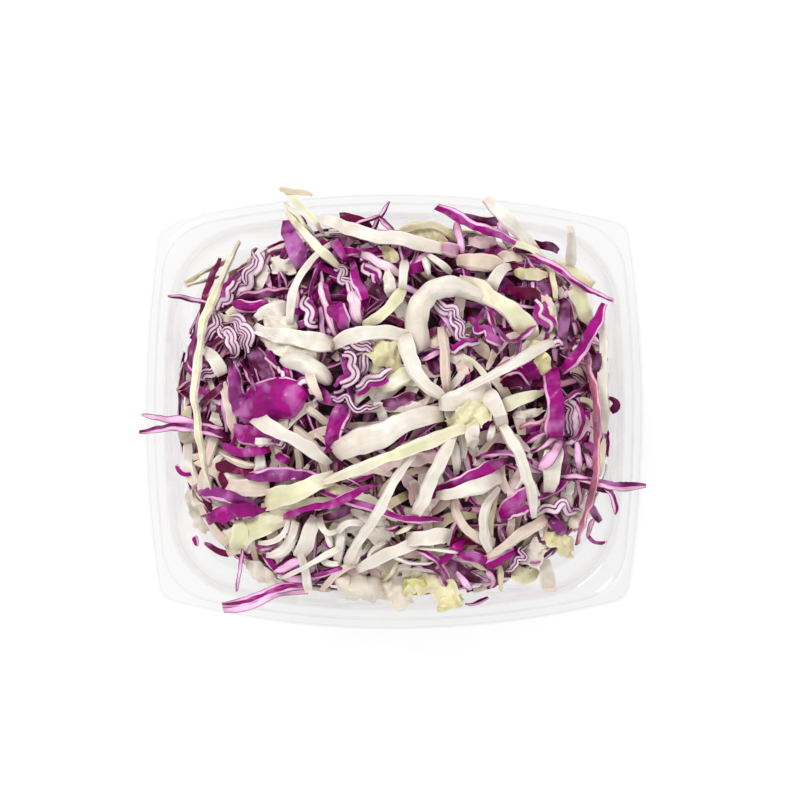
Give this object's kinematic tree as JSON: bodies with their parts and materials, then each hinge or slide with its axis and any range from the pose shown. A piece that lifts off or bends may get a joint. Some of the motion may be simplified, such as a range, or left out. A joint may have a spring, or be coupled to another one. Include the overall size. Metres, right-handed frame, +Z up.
{
  "type": "tub of shredded cabbage",
  "caption": "Clear rectangular deli tub with bowed sides and a wide corner flange, heaped with shredded red and white cabbage.",
  "frame": {"origin": "middle of the tub's flat underside, where it stands", "axes": "+Z up, +X along the tub's longer side, +Y along its shorter side"},
  "size_m": [0.1862, 0.1629, 0.0794],
  "materials": {
    "tub": "clear thin thermoformed plastic, glossy",
    "cabbage": "moist raw cabbage, purple leaf faces with white and pale green ribs"
  },
  "bodies": {
    "root": {"tub": "tub", "cabbage": "cabbage"}
  },
  "joints": []
}
